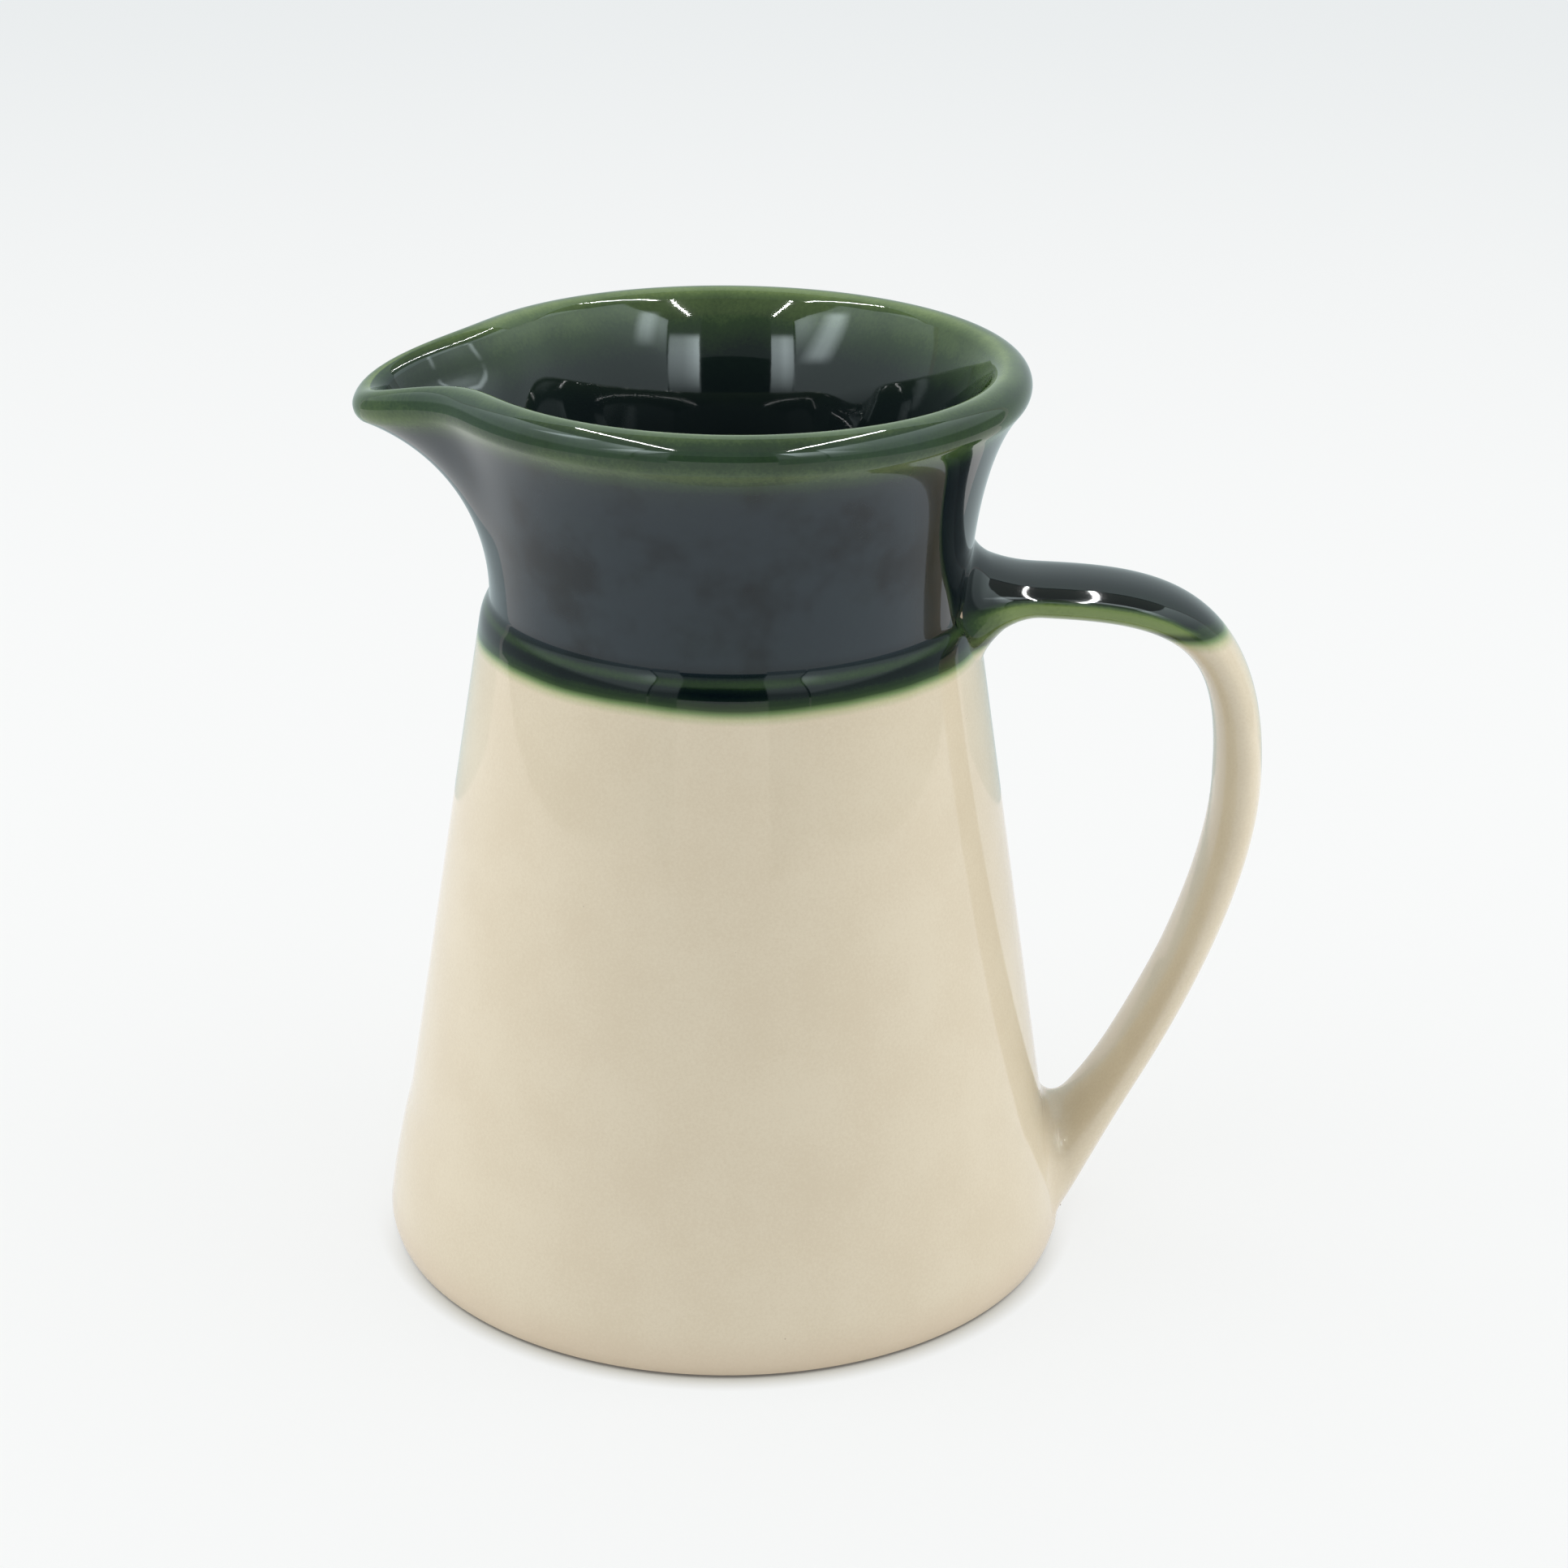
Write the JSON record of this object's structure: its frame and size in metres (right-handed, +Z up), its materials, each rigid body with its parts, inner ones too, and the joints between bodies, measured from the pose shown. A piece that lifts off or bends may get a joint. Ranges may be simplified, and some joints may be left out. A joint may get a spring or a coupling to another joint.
{
  "type": "jug",
  "caption": "Glazed stoneware jug with a tapering cream body, soft shoulder, flared dark neck, pulled pouring spout and strap handle, for holding and pouring drinks.",
  "frame": {"origin": "centre of the flat base, on the axis of the turned body", "axes": "+Z up along the axis of the body, +X towards the handle, -X towards the spout, Y across"},
  "size_m": [0.1463, 0.115, 0.15],
  "materials": {
    "clay": "bare fired stoneware, matt and slightly rough",
    "cream_glaze": "glossy cream glaze with fine grain and a few small dark specks",
    "dark_glaze": "glossy slate blue-black glaze that breaks to green on edges and along its lower line"
  },
  "bodies": {
    "root": {"clay_body": "clay", "clay_handle": "clay", "upper_slip_joint": "clay", "lower_slip_joint": "clay", "body_glaze": "cream_glaze", "handle_glaze_cream": "cream_glaze", "neck_glaze": "dark_glaze", "inner_glaze": "dark_glaze", "handle_glaze_dark": "dark_glaze"}
  },
  "joints": []
}
